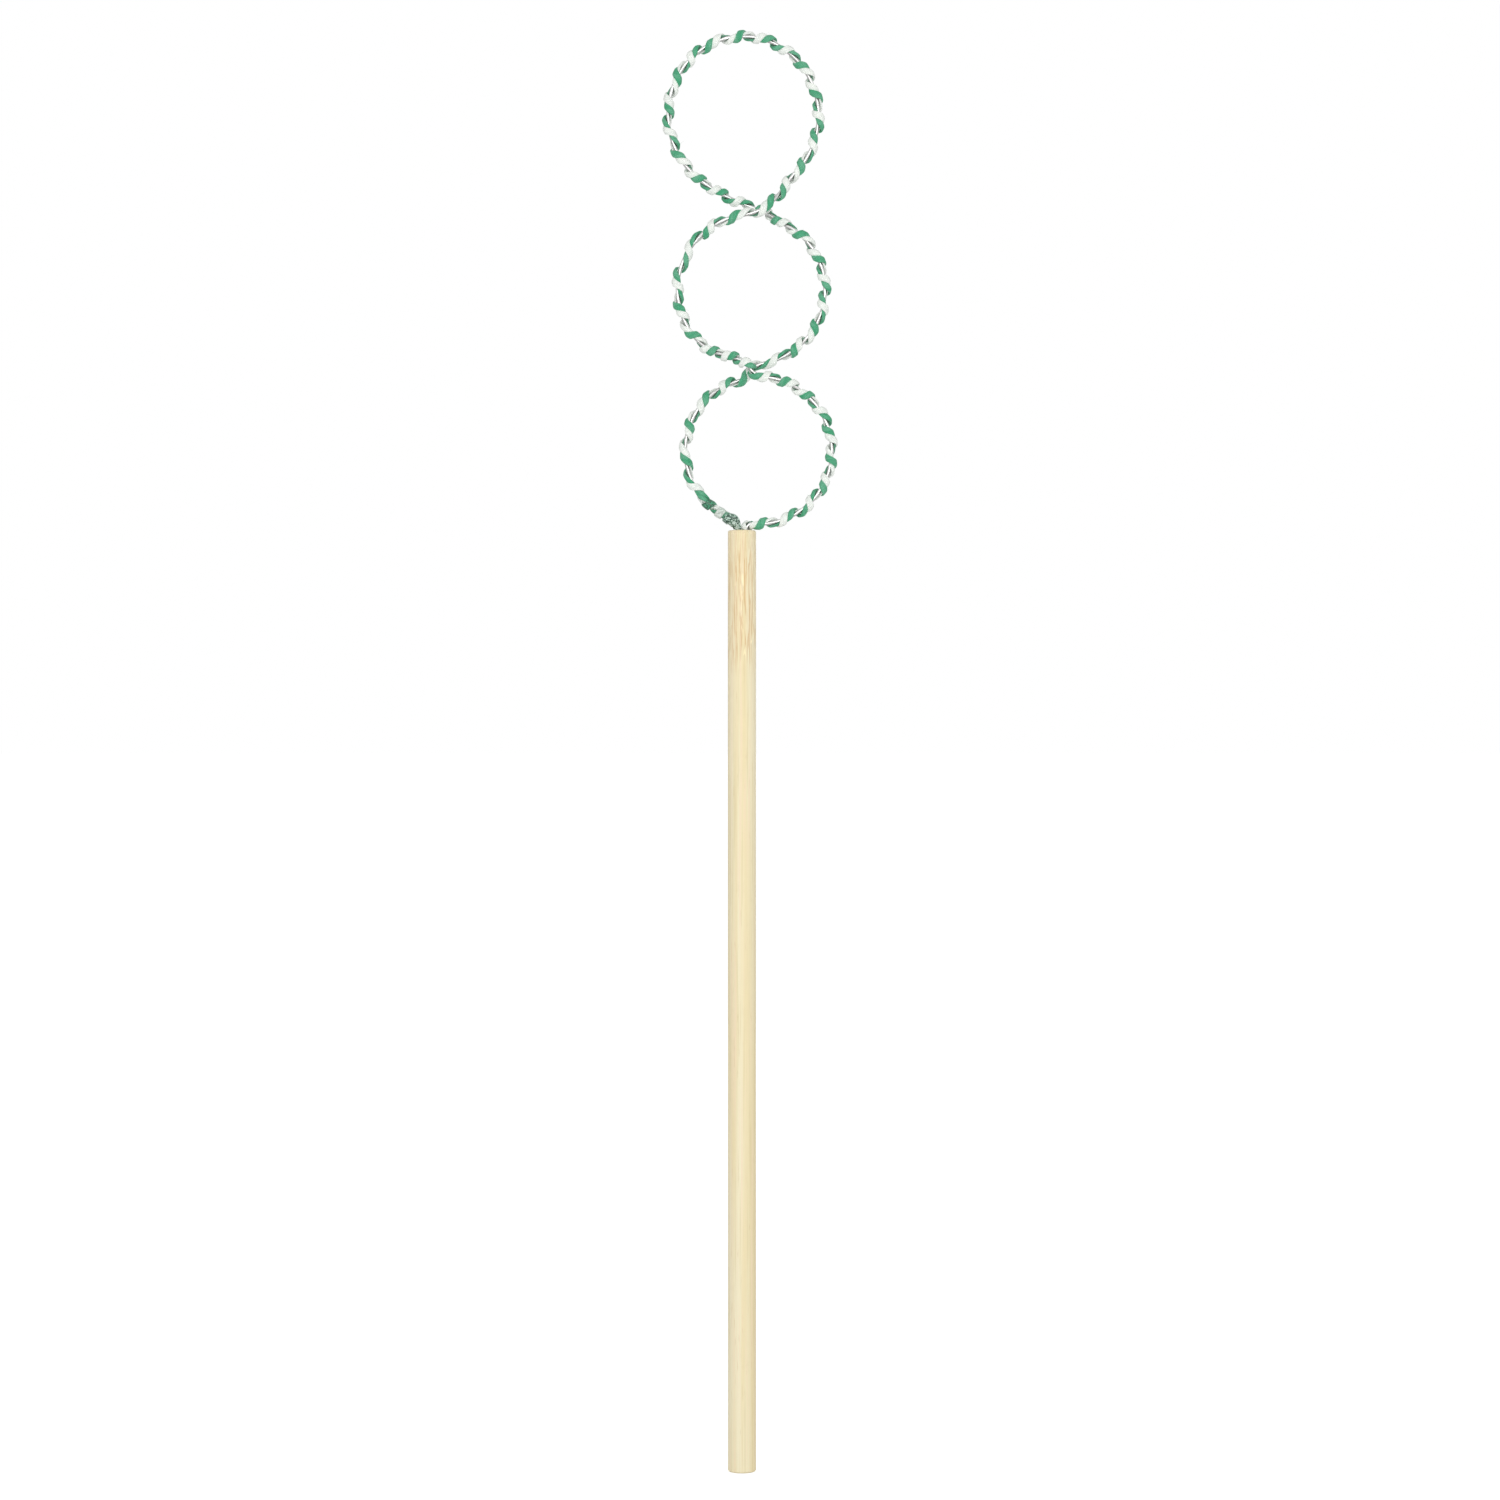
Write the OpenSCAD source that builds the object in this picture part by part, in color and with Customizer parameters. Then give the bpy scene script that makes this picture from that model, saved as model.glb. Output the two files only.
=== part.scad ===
// A bubble wand: a wooden rod with three wire loops in a chain on its end, the wire wound with twine.
// The rod stands along Z with its butt end at the origin, and the loops face the -Y side.

/* [Rod] */
// Diameter of the wooden rod
rod_d = 6; // [5.4:0.1:9]
// Length of the wooden rod
rod_len = 200; // [80:1:320]
// Width of the worn edge at each end of the rod
edge_break = 0.2; // [0.1:0.05:0.4]
// Depth of the blind hole below the wire's legs
hole_foot = 2; // [0.5:0.1:6]
// Clearance of the hole round what it holds
hole_clear = 0.12; // [0.05:0.01:0.25]

/* [Wire] */
// Diameter of the wire
wire_d = 0.8; // [0.6:0.05:1]
// Gap between the two wire legs in the hole
leg_gap = 0.9; // [0.6:0.05:1.1]
// Depth that the wire legs reach into the rod
leg_depth = 14; // [6:0.5:24]
// Radius of the wire's bends above the hole, at the middle of the wire
bend_r = 1.3; // [1:0.05:1.6]

/* [Loops] */
// Radius of the bottom loop, at the middle of the wire
low_r = 15.6; // [14:0.1:17]
// Radius of the middle loop
mid_r = 15.7; // [14.5:0.1:16.5]
// Half width of the top loop
top_half_w = 16; // [15:0.1:17]
// Half height of the top loop
top_half_h = 16.8; // [15.5:0.1:18]
// Distance between the centres of the bottom and middle loops
low_mid = 34.3; // [33.5:0.1:36]
// Distance between the centres of the middle and top loops
mid_top = 37.2; // [36:0.1:39]
// How far the chain of loops stands to the right of the rod's axis, at the top of the rod
chain_shift = 4.3; // [3.5:0.1:5]
// Lean of the chain of loops to the left, in degrees
chain_lean = 2.6; // [0:0.1:5]
// Gap between the top of the rod and the winding of the bottom loop
rest_gap = 0.05; // [0.03:0.01:0.5]

/* [Twine] */
// Width of the twine, pressed flat on the wire
twine_w = 2.2; // [1.6:0.05:2.4]
// Thickness of the twine, pressed flat on the wire
twine_t = 0.84; // [0.7:0.02:1.1]
// Gap between the wire and the twine round it, where the twine comes nearest
seat_gap = 0.03; // [0.02:0.01:0.1]
// Width of the twine's tails, drawn tight in the hole
tail_w = 1.2; // [1:0.05:1.3]
// Gap between the two tails
tail_gap = 0.45; // [0.42:0.01:0.6]
// Length of each tail inside the hole
tail_len = 3; // [2.4:0.1:5]
// Gap between the windings of two wires that cross
strand_gap = 0.45; // [0.42:0.01:1]

/* [Glue] */
// Gap between the glue and what it holds
glue_gap = 0.05; // [0.02:0.01:0.1]

/* [Hidden] */

// Reach of a cut past the face that it opens
overrun = 0.5;
// Corners of the wire's section, and rings to one turn of the twine
WIRE_SIDES = 8;
TURN_RINGS = 8;
// Steps of a loop's arc in degrees, and of a strand, a bend, a run and a tail in counts
ARC_STEP = 8;
STRAND_STEPS = 6;
BEND_STEPS = 4;
RUN_STEPS = 6;
TAIL_STEPS = 6;
// Reach of the handles of a curve and of a tail, as shares of the distance that it spans
curve_reach_share = 0.36;
tail_reach_share = 0.3;

// Sizes that follow from the wire and the twine wound on it. The skin's diagonals cut across two rings'
// steps of the turn, so the rings stand that much farther out than where the twine comes nearest
wire_r = wire_d / 2;
seat_r = wire_r / cos(360 / TURN_RINGS) + seat_gap;
coil_r = seat_r + twine_t / 2;
wound_r = seat_r + twine_t;
corner_r = norm([wound_r, twine_w / 4]);

// Places in the hole: the legs stand behind, the tails side by side in front of them
leg_x = (wire_d + leg_gap) / 2;
loop_y = coil_r / 2;
tail_x = (tail_w + tail_gap) / 2;
tail_y = loop_y - coil_r;
tail_corner_r = norm([tail_x + tail_w / 4, tail_y - twine_t / 2]);
tail_side_r = norm([tail_x + tail_w / 2, tail_y]);
leg_side_r = norm([leg_x, loop_y]) + wire_r;
hole_r = max(tail_corner_r, tail_side_r, leg_side_r) + hole_clear;
leg_foot_z = rod_len - leg_depth;
hole_floor_z = leg_foot_z - hole_foot;
glue_top_z = rod_len - tail_len;

// Each loop: height of its centre along the chain, half width and half height
low = [rest_gap + wound_r + low_r, low_r, low_r];
mid = [low[0] + low_mid, mid_r, mid_r];
top = [mid[0] + mid_top, top_half_w, top_half_h];

// Where the wires cross between two loops: right of the chain's axis, and above the lower centre
low_cross_right_share = -0.058;
low_cross_up_share = 0.503;
top_cross_right_share = 0.197;
top_cross_up_share = 0.452;
low_cross = [low_cross_right_share * low_r, low[0] + low_cross_up_share * low_mid];
top_cross = [top_cross_right_share * mid_r, mid[0] + top_cross_up_share * mid_top];
// How far a strand steps out of the loops' plane there, and the height over which it does so
cross_step = corner_r + strand_gap / 2;
step_share = 0.445;
step_h = step_share * low_r;

// Angles of each strand: where it leaves the lower loop, its heading at the crossing, where it joins the
// upper loop. Two strands lead up to the right and two up to the left.
LOW_RIGHTWARD = [102, 50, -74];
LOW_LEFTWARD = [80, 120, 228];
TOP_RIGHTWARD = [100, 27, -47];
TOP_LEFTWARD = [58, 156, 222];
// Angles on the bottom loop where the runs to the rod leave it, and the bend of the left leg
LEFT_RUN_ANGLE = 226;
RIGHT_RUN_ANGLE = -92;
LEFT_BEND = 22;
CROWN = 90;

// Turns of twine on each stretch of the wire, from the left leg up over the top and down to the right leg
STRETCH_TURNS = [1.5, 5.1, 1.45, 6.65, 4.75, 6.65, 7.1, 2.85, 5.55, 2.6, 8.8];
// The twine starts and ends at the front of the wire
FRONT = -90;

// Vectors
function unit(v) = v / norm(v);
function heading(a) = [cos(a), sin(a)];
function mix(a, b, t) = a + (b - a) * t;
function bezier(p, q, r, s, t) =
    p * pow(1 - t, 3) + q * 3 * pow(1 - t, 2) * t + r * 3 * (1 - t) * pow(t, 2) + s * pow(t, 3);

// A loop's point and heading at an angle, seen from the front; way is 1 anticlockwise and -1 clockwise
function loop_point(loop, a) = [loop[1] * cos(a), loop[0] + loop[2] * sin(a)];
function loop_heading(loop, a, way) = way * unit([-loop[1] * sin(a), loop[2] * cos(a)]);
function loop_arc(loop, from, to) =
    let (steps = ceil(abs(to - from) / ARC_STEP))
    [for (i = [0:steps]) loop_point(loop, mix(from, to, i / steps))];

// The points between the two ends of a curve with a given heading at each end
function curve(p, p_heading, q, q_heading, steps) =
    let (reach = curve_reach_share * norm(q - p))
    [for (i = [1:steps - 1]) bezier(p, p + p_heading * reach, q - q_heading * reach, q, i / steps)];

// A strand from the lower loop up through the crossing to the upper loop, without its two ends
function strand(lower, upper, cross, angles, way) =
    let (through = heading(angles[1]))
    concat(
        curve(
            loop_point(lower, angles[0]), loop_heading(lower, angles[0], -way),
            cross, through, STRAND_STEPS
        ),
        [cross],
        curve(
            cross, through,
            loop_point(upper, angles[2]), loop_heading(upper, angles[2], way), STRAND_STEPS
        )
    );
function reversed(list) = [for (i = [len(list) - 1:-1:0]) list[i]];

// From the chain's own plane, leaning and shifted on the rod, to right and up, and back
chain_right = heading(chain_lean);
chain_up = heading(chain_lean + CROWN);
chain_foot = [chain_shift, rod_len];
function placed(p) = chain_foot + chain_right * p[0] + chain_up * p[1];
function heading_in_chain(h) = [h * chain_right, h * chain_up];
function in_chain(p) = heading_in_chain(p - chain_foot);

// The bends above the hole, from vertical leg to run on the left, and from run to leg on the right
left_bend_centre = [-leg_x - bend_r, rod_len - wire_r];
left_bend = [for (i = [0:BEND_STEPS]) left_bend_centre + bend_r * heading(LEFT_BEND * i / BEND_STEPS)];
right_top = placed(loop_point(low, RIGHT_RUN_ANGLE));
right_bend_centre = [leg_x + bend_r, right_top[1] - bend_r];
right_bend = [for (i = [0:BEND_STEPS]) right_bend_centre + bend_r * heading(CROWN * (1 + i / BEND_STEPS))];
left_run_start = in_chain(left_bend[BEND_STEPS]);
left_run = concat(
    [left_run_start],
    curve(
        left_run_start, heading_in_chain(heading(CROWN + LEFT_BEND)),
        loop_point(low, LEFT_RUN_ANGLE), loop_heading(low, LEFT_RUN_ANGLE, -1), RUN_STEPS
    )
);

// The stretches of the wire that are wound, each with its way: 1 on the way up, -1 on the way down
low_leftward = strand(low, mid, low_cross, LOW_LEFTWARD, -1);
top_rightward = strand(mid, top, top_cross, TOP_RIGHTWARD, 1);
STRETCHES = [
    [1, left_run],
    [1, loop_arc(low, LEFT_RUN_ANGLE, LOW_RIGHTWARD[0])],
    [1, strand(low, mid, low_cross, LOW_RIGHTWARD, 1)],
    [1, loop_arc(mid, LOW_RIGHTWARD[2], TOP_LEFTWARD[0])],
    [1, strand(mid, top, top_cross, TOP_LEFTWARD, -1)],
    [1, loop_arc(top, TOP_LEFTWARD[2], CROWN)],
    [-1, loop_arc(top, CROWN - ARC_STEP / 2, TOP_RIGHTWARD[2])],
    [-1, reversed(top_rightward)],
    [-1, loop_arc(mid, TOP_RIGHTWARD[0], LOW_LEFTWARD[2])],
    [-1, reversed(low_leftward)],
    [-1, loop_arc(low, LOW_LEFTWARD[0], RIGHT_RUN_ANGLE)],
];

// The step out of the loops' plane at a height near a crossing
function step_at(up, cross) = pow(cos(CROWN * min(1, abs(up - cross[1]) / step_h)), 2);
function out_of_plane(up) = cross_step * (step_at(up, low_cross) + step_at(up, top_cross));
function in_space(p, way) =
    let (q = placed(p)) [q[0], loop_y + way * out_of_plane(p[1]), q[1]];
function in_hole(p) = [p[0], loop_y, p[1]];

wound_points = [for (stretch = STRETCHES) each [for (p = stretch[1]) in_space(p, stretch[0])]];
left_leg = [[-leg_x, loop_y, leg_foot_z], each [for (i = [0:BEND_STEPS - 1]) in_hole(left_bend[i])]];
right_leg = [each [for (p = right_bend) in_hole(p)], [leg_x, loop_y, leg_foot_z]];
route = concat(left_leg, wound_points, right_leg);

// Length along the wire at each of its points, and tables that give a place on it from that length
function sums(list, from) =
    [for (i = 0, sum = from; i <= len(list); sum = sum + list[min(i, len(list) - 1)], i = i + 1) sum];
function lengths(line) = sums([for (i = [1:len(line) - 1]) norm(line[i] - line[i - 1])], 0);
route_s = lengths(route);
route_axes = [for (axis = [0:2]) [for (i = [0:len(route) - 1]) [route_s[i], route[i][axis]]]];
function place(s) = [for (axis = [0:2]) lookup(s, route_axes[axis])];
function along(s) = unit(place(s + wire_r) - place(s - wire_r));

// Length along the wire against turns of twine: the first turn starts one twine's width up the left run
stretch_starts = sums([for (stretch = STRETCHES) len(stretch[1])], len(left_leg));
turns_done = sums(STRETCH_TURNS, 0);
first_turn_s = route_s[stretch_starts[0]] + twine_w;
turn_table = [
    for (i = [0:len(turns_done) - 1]) [turns_done[i], i == 0 ? first_turn_s : route_s[stretch_starts[i]]]
];
turns = turns_done[len(turns_done) - 1];

// A turn's place: centre of the twine and the direction from the wire out to it
function coil_out(turn) =
    let (t = along(lookup(turn, turn_table)), side = unit(cross(t, [0, 1, 0])), back = cross(side, t))
    side * cos(FRONT + 360 * turn) + back * sin(FRONT + 360 * turn);
function coil_centre(turn) = place(lookup(turn, turn_table)) + coil_r * coil_out(turn);

// The two tails run from an end of the winding into the hole and down to the glue, in front of the legs
function tail_curve(from, from_heading, side) =
    let (mouth = [side * tail_x, tail_y, rod_len], reach = tail_reach_share * norm(mouth - from))
    let (near_from = from + from_heading * reach, near_mouth = mouth + [0, 0, 2 * reach])
    [for (i = [1:TAIL_STEPS]) bezier(from, near_from, near_mouth, mouth, i / TAIL_STEPS)];
turn_step = 1 / TURN_RINGS;
coil_centres = [for (i = [0:turns * TURN_RINGS]) coil_centre(i * turn_step)];
coil_outs = [for (i = [0:turns * TURN_RINGS]) coil_out(i * turn_step)];
coil_last = len(coil_centres) - 1;
function tail_from(end, before, side) = tail_curve(end, unit(end - before), side);
left_tail = tail_from(coil_centres[0], coil_centres[1], -1);
right_tail = tail_from(coil_centres[coil_last], coil_centres[coil_last - 1], 1);
left_end = [-tail_x, tail_y, glue_top_z];
right_end = [tail_x, tail_y, glue_top_z];
twine_centres = concat([left_end], reversed(left_tail), coil_centres, right_tail, [right_end]);
front_out = [0, -1, 0];
tail_outs = [for (i = [0:TAIL_STEPS]) front_out];
twine_outs = concat(tail_outs, coil_outs, tail_outs);
tail_widths = [for (i = [0:TAIL_STEPS]) mix(twine_w, tail_w, min(1, (i + 1) / TAIL_STEPS))];
twine_widths = concat(reversed(tail_widths), [for (c = coil_centres) twine_w], tail_widths);

// Rings of points round a line: a wire's is round, a twine's is flat towards the wire and away from it
function line_heading(line, i) =
    i == 0 ? unit(line[1] - line[0])
    : i == len(line) - 1 ? unit(line[i] - line[i - 1])
    : unit(unit(line[i + 1] - line[i]) + unit(line[i] - line[i - 1]));
function squared(v, t) = unit(v - t * (v * t));
wire_rings = [
    for (i = [0:len(route) - 1])
        let (t = line_heading(route, i), out = squared(front_out, t), side = cross(t, out))
        [for (a = [0:360 / WIRE_SIDES:359]) route[i] + wire_r * (side * cos(a) + out * sin(a))]
];
FLAT_SECTION_SHARES = [
    [1 / 2, 0], [1 / 4, 1 / 2], [-1 / 4, 1 / 2],
    [-1 / 2, 0], [-1 / 4, -1 / 2], [1 / 4, -1 / 2],
];
twine_rings = [
    for (i = [0:len(twine_centres) - 1])
        let (t = line_heading(twine_centres, i), out = squared(twine_outs[i], t), side = cross(t, out))
        let (wide = side * twine_widths[i], thick = out * twine_t)
        [for (c = FLAT_SECTION_SHARES) twine_centres[i] + wide * c[0] + thick * c[1]]
];

// The least gap of the twine to itself, between points of rings over twice its width apart along it
function ring_gap(a, b) = min([for (p = a, q = b) norm(p - q)]);
near = 2 * twine_w;
twine_last = len(twine_centres) - 1;
twine_s = lengths(twine_centres);
least_gap = min([
    for (i = [0:twine_last], j = [i + 1:1:twine_last])
        if (twine_s[j] - twine_s[i] > near && norm(twine_centres[i] - twine_centres[j]) < near)
            ring_gap(twine_rings[i], twine_rings[j])
]);
echo(least_gap_of_twine = least_gap, turns_of_twine = turns);

// A closed skin of triangles over rings with as many points each, split along each shorter diagonal
function split(points, a, b, c, d) =
    norm(points[a] - points[c]) < norm(points[b] - points[d])
    ? [[a, b, c], [a, c, d]]
    : [[a, b, d], [b, c, d]];
module tube(rings) {
    points = [for (ring = rings) each ring];
    sides = len(rings[0]);
    end = len(points) - sides;
    polyhedron(
        points = points,
        faces = concat(
            [for (i = [1:sides - 2]) [0, i + 1, i]],
            [
                for (a = [0:sides:end - sides], i = [0:sides - 1])
                    let (k = (i + 1) % sides)
                    each split(points, a + i, a + k, a + sides + k, a + sides + i)
            ],
            [for (i = [1:sides - 2]) [end, end + i, end + i + 1]]
        )
    );
}

// The wooden rod: a straight dowel with a blind hole in its top end
module rod() {
    r = rod_d / 2;
    color("#f0e0b6")
    difference() {
        rotate_extrude($fn = 96)
            polygon([
                [0, 0], [r - edge_break, 0], [r, edge_break], [r, rod_len - edge_break],
                [r - edge_break, rod_len], [0, rod_len],
            ]);
        translate([0, 0, hole_floor_z])
            cylinder(r = hole_r, h = rod_len - hole_floor_z + overrun, $fn = 64);
    }
}

// One wire, bent into the three loops, with both legs in the hole
module wire_loops() {
    color("#9b968f") tube(wire_rings);
}

// One length of twine, wound on the wire from leg to leg
module twine() {
    color("#8fbfa2") tube(twine_rings);
}

// The glue that fills the hole below the twine's tails and holds the legs
module glue_plug() {
    floor_z = hole_floor_z + glue_gap;
    color("#a9a58c")
    difference() {
        translate([0, 0, floor_z]) cylinder(r = hole_r - glue_gap, h = glue_top_z - floor_z, $fn = 64);
        for (side = [-1, 1])
            translate([side * leg_x, loop_y, leg_foot_z - glue_gap])
                cylinder(r = wire_r + glue_gap, h = leg_depth + glue_gap, $fn = 32);
    }
}

rod();
wire_loops();
twine();
glue_plug();
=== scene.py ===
"""A bubble wand: a bamboo rod with a chain of three wire loops, wound with green and white twine."""

import math

import bpy
import numpy as np
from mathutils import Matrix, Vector


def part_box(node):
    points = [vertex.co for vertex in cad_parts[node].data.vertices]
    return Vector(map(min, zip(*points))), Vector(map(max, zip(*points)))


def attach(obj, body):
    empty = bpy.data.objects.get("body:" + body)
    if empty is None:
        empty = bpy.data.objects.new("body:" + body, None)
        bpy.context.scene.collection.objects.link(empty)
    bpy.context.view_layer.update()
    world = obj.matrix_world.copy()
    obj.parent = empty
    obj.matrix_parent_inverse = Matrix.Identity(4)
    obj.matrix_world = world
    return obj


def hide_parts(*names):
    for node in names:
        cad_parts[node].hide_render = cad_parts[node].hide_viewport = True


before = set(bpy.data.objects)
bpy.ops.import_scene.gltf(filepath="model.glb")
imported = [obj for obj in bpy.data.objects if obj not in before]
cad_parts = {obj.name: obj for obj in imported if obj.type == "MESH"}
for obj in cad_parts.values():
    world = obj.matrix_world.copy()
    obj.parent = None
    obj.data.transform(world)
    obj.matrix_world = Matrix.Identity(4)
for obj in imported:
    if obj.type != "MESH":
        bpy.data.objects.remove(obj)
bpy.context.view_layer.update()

MM = 0.001
SEED = 7
UP_Y = np.array([0.0, 1.0, 0.0])

# Sizes of the construction, the same as the solids have: lengths in metres, angles in degrees
ROD_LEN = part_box("rod")[1][2]
WIRE_R = 0.4 * MM
LEG_GAP = 0.9 * MM
LEG_DEPTH = 14 * MM
BEND_R = 1.3 * MM
LOW_R = 15.6 * MM
MID_R = 15.7 * MM
TOP_HALF_W = 16 * MM
TOP_HALF_H = 16.8 * MM
LOW_MID = 34.3 * MM
MID_TOP = 37.2 * MM
CHAIN_SHIFT = 4.3 * MM
CHAIN_LEAN = 2.6
REST_GAP = 0.05 * MM
WOUND_R = 1.436 * MM
LOOP_Y = 0.508 * MM
CROSS_STEP = 1.762 * MM
STEP_H = 0.445 * LOW_R
# The crossings, to the right of and above the centre of the loop below
LOW_CROSS = (-0.058 * LOW_R, 0.503 * LOW_MID)
TOP_CROSS = (0.197 * MID_R, 0.452 * MID_TOP)

# Angles of each strand: where it leaves the lower loop, its heading at the crossing, where it joins the
# upper loop
LOW_RIGHTWARD = (102, 50, -74)
LOW_LEFTWARD = (80, 120, 228)
TOP_RIGHTWARD = (100, 27, -47)
TOP_LEFTWARD = (58, 156, 222)
LEFT_RUN_ANGLE = 226
RIGHT_RUN_ANGLE = -92
LEFT_BEND = 22
CROWN = 90
CURVE_REACH = 0.36
ARC_STEP = 1.0
STRAND_STEPS = 40
RUN_STEPS = 30
BEND_STEPS = 16

# The twine starts at the front of the wire
FRONT = -90


def unit(v):
    return v / np.linalg.norm(v)


def units(rows):
    return rows / np.linalg.norm(rows, axis=1)[:, None]


def heading(degrees):
    return np.array([math.cos(math.radians(degrees)), math.sin(math.radians(degrees))])


def bezier(p, q, r, s, t):
    return p * (1 - t) ** 3 + q * 3 * (1 - t) ** 2 * t + r * 3 * (1 - t) * t**2 + s * t**3


# The wire's route in the chain's own plane: right, and up from the top of the rod
def loop_point(loop, angle):
    height, half_w, half_h = loop
    return np.array([half_w, half_h]) * heading(angle) + np.array([0, height])


def loop_heading(loop, angle, way):
    height, half_w, half_h = loop
    return way * unit(np.array([half_w, half_h]) * heading(angle + CROWN))


def loop_arc(loop, start, end):
    steps = math.ceil(abs(end - start) / ARC_STEP)
    return [loop_point(loop, start + (end - start) * i / steps) for i in range(steps + 1)]


def curve(p, p_heading, q, q_heading, steps):
    """The points between the two ends of a curve with a given heading at each end."""
    reach = CURVE_REACH * np.linalg.norm(q - p)
    return [bezier(p, p + p_heading * reach, q - q_heading * reach, q, i / steps) for i in range(1, steps)]


def strand(lower, upper, cross, angles, way):
    """A strand from the lower loop up through the crossing to the upper loop, without its two ends."""
    leave, through, join = angles
    first = curve(
        loop_point(lower, leave), loop_heading(lower, leave, -way), cross, heading(through), STRAND_STEPS
    )
    last = curve(
        cross, heading(through), loop_point(upper, join), loop_heading(upper, join, way), STRAND_STEPS
    )
    return first + [cross] + last


LOW = (REST_GAP + WOUND_R + LOW_R, LOW_R, LOW_R)
MID = (LOW[0] + LOW_MID, MID_R, MID_R)
TOP = (MID[0] + MID_TOP, TOP_HALF_W, TOP_HALF_H)
LOW_CROSS_AT = np.array([LOW_CROSS[0], LOW[0] + LOW_CROSS[1]])
TOP_CROSS_AT = np.array([TOP_CROSS[0], MID[0] + TOP_CROSS[1]])
CHAIN_RIGHT = heading(CHAIN_LEAN)
CHAIN_UP = heading(CHAIN_LEAN + CROWN)
CHAIN_FOOT = np.array([CHAIN_SHIFT, ROD_LEN])
LEG_X = WIRE_R + LEG_GAP / 2


def placed(p):
    return CHAIN_FOOT + CHAIN_RIGHT * p[0] + CHAIN_UP * p[1]


def in_chain(v):
    """A heading, or a point less the chain's foot, in the chain's own plane."""
    return np.array([v @ CHAIN_RIGHT, v @ CHAIN_UP])


def bend(centre, start, end):
    angles = [start + (end - start) * i / BEND_STEPS for i in range(BEND_STEPS + 1)]
    return [centre + BEND_R * heading(angle) for angle in angles]


def step_at(up, cross):
    return math.cos(math.radians(CROWN * min(1, abs(up - cross[1]) / STEP_H))) ** 2


def in_space(p, way):
    """A point of the chain's plane, stepped out of it near the crossings: back for 1, forward for -1."""
    x, z = placed(p)
    step = CROSS_STEP * (step_at(p[1], LOW_CROSS_AT) + step_at(p[1], TOP_CROSS_AT))
    return np.array([x, LOOP_Y + way * step, z])


def in_hole(p):
    return np.array([p[0], LOOP_Y, p[1]])


def end_bends():
    """The bends above the two legs: the left one up from its leg, the right one down to its own."""
    left = bend(np.array([-LEG_X - BEND_R, ROD_LEN - WIRE_R]), 0, LEFT_BEND)
    right_top = placed(loop_point(LOW, RIGHT_RUN_ANGLE))
    return left, bend(np.array([LEG_X + BEND_R, right_top[1] - BEND_R]), CROWN, 2 * CROWN)


def left_run(bend_end):
    """The run from the left bend's end to the lower loop."""
    start = in_chain(bend_end - CHAIN_FOOT)
    start_heading = in_chain(heading(CROWN + LEFT_BEND))
    end = loop_point(LOW, LEFT_RUN_ANGLE)
    return [start] + curve(start, start_heading, end, loop_heading(LOW, LEFT_RUN_ANGLE, -1), RUN_STEPS)


def wound_stretches(bend_end):
    """(way, points) of each stretch of the chain: up to the crown of the top loop, and down again."""
    return [
        (1, left_run(bend_end)),
        (1, loop_arc(LOW, LEFT_RUN_ANGLE, LOW_RIGHTWARD[0])),
        (1, strand(LOW, MID, LOW_CROSS_AT, LOW_RIGHTWARD, 1)),
        (1, loop_arc(MID, LOW_RIGHTWARD[2], TOP_LEFTWARD[0])),
        (1, strand(MID, TOP, TOP_CROSS_AT, TOP_LEFTWARD, -1)),
        (1, loop_arc(TOP, TOP_LEFTWARD[2], CROWN)),
        (-1, loop_arc(TOP, CROWN - ARC_STEP / 2, TOP_RIGHTWARD[2])),
        (-1, strand(MID, TOP, TOP_CROSS_AT, TOP_RIGHTWARD, 1)[::-1]),
        (-1, loop_arc(MID, TOP_RIGHTWARD[0], LOW_LEFTWARD[2])),
        (-1, strand(LOW, MID, LOW_CROSS_AT, LOW_LEFTWARD, -1)[::-1]),
        (-1, loop_arc(LOW, LOW_LEFTWARD[0], RIGHT_RUN_ANGLE)),
    ]


def wire_points():
    """The wire's middle line, from the foot of the left leg to the foot of the right leg."""
    left_bend, right_bend = end_bends()
    foot_z = ROD_LEN - LEG_DEPTH
    points = [np.array([-LEG_X, LOOP_Y, foot_z])] + [in_hole(p) for p in left_bend[:-1]]
    for way, plane_points in wound_stretches(left_bend[-1]):
        points += [in_space(p, way) for p in plane_points]
    points += [in_hole(p) for p in right_bend] + [np.array([LEG_X, LOOP_Y, foot_z])]
    return np.array(points)


def line_lengths(points):
    return np.concatenate([[0], np.cumsum(np.linalg.norm(np.diff(points, axis=0), axis=1))])


class Route:
    """The wire's whole route, read by the length along it."""

    def __init__(self):
        self.points = wire_points()
        self.s = line_lengths(self.points)

    def at(self, s):
        return np.stack([np.interp(s, self.s, self.points[:, axis]) for axis in range(3)], axis=1)

    def along(self, s):
        return units(self.at(s + WIRE_R) - self.at(s - WIRE_R))

    def frame(self, s):
        """Point, direction along the wire, direction to its side in the loop's plane, direction back."""
        t = self.along(s)
        side = units(np.cross(t, UP_Y))
        return self.at(s), t, side, np.cross(side, t)


route = Route()


# Meshes: a tube is its rings of points, the lay coordinates of its faces' corners, and its attributes
def corner_faces(count, sides):
    """The faces of a closed tube, and for each corner its ring and its column, the seam's twice."""
    rows, cols = np.meshgrid(np.arange(count - 1), np.arange(sides), indexing="ij")
    rows, cols = rows.ravel(), cols.ravel()
    ring = np.stack([rows, rows, rows + 1, rows + 1], axis=1)
    column = np.stack([cols, cols + 1, cols + 1, cols], axis=1)
    start = np.arange(sides - 1, -1, -1)
    end = np.arange(sides)
    faces = (ring * sides + column % sides).tolist()
    faces += [start.tolist(), (end + (count - 1) * sides).tolist()]
    corner_ring = np.concatenate([ring.ravel(), start * 0, end * 0 + count - 1])
    corner_column = np.concatenate([column.ravel(), start, end])
    return faces, corner_ring, corner_column


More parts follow.
